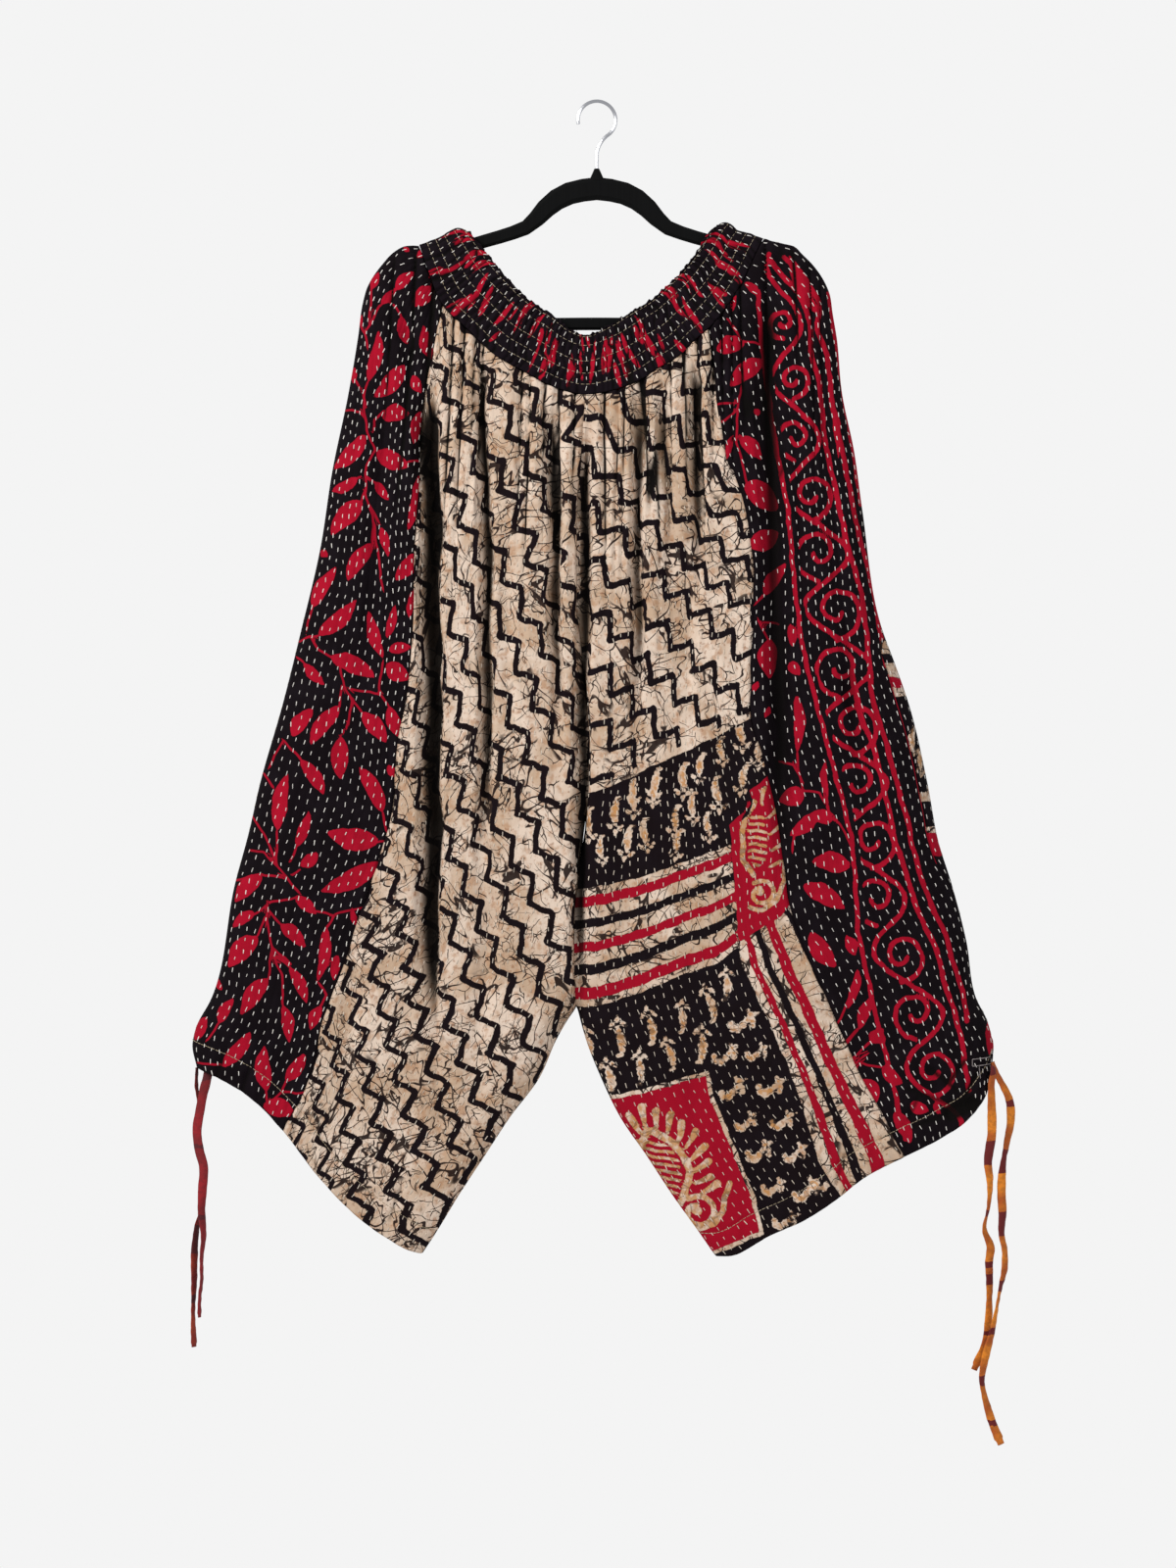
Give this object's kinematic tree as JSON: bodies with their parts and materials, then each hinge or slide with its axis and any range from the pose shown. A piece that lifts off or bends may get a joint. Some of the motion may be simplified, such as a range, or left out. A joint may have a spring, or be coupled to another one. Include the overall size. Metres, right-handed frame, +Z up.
{
  "type": "balloon trousers on a clothes hanger",
  "caption": "Quilted patchwork balloon trousers with a shirred waistband and drawstring hems, hung by the waistband on a slim clothes hanger.",
  "frame": {"origin": "inside top of the hanger's hook, where a rail or peg carries it", "axes": "+Z up, the front of the garment faces -Y, and +X is to the right in a view of the front (the wearer's left side)"},
  "size_m": [0.8069, 0.0562, 1.319],
  "materials": {
    "zigzag_batik": "beige batik cotton with dark zigzag lines and crackle, quilted in running stitch",
    "zigzag_batik_with_border": "beige zigzag batik with a border of stripes, small paisleys and red squares",
    "leaf_print": "black cotton with crimson leaves, quilted in white running stitch",
    "leaf_and_scroll_print": "black cotton with crimson leaves, scrolls and stripes, quilted in white running stitch",
    "gathered_band": "black and crimson cotton gathered by rows of shirring thread",
    "flocked_plastic": "black flocked",
    "steel_wire": "bright plated wire",
    "red_tape": "folded cotton tape, dark red",
    "orange_tape": "folded cotton tape, orange with dark red bands"
  },
  "bodies": {
    "root": {"left_front_panel": "zigzag_batik", "right_front_panel": "zigzag_batik_with_border", "left_back_panel": "zigzag_batik", "right_back_panel": "zigzag_batik_with_border", "left_side_panel": "leaf_print", "right_side_panel": "leaf_and_scroll_print", "right_back_side_panel": "leaf_and_scroll_print", "waistband_front": "gathered_band", "waistband_back": "gathered_band", "hanger": "flocked_plastic", "hanger_hook": "steel_wire", "left_drawstring_end_a": "red_tape", "left_drawstring_end_b": "red_tape", "right_drawstring_end_a": "orange_tape", "right_drawstring_end_b": "orange_tape"}
  },
  "joints": []
}
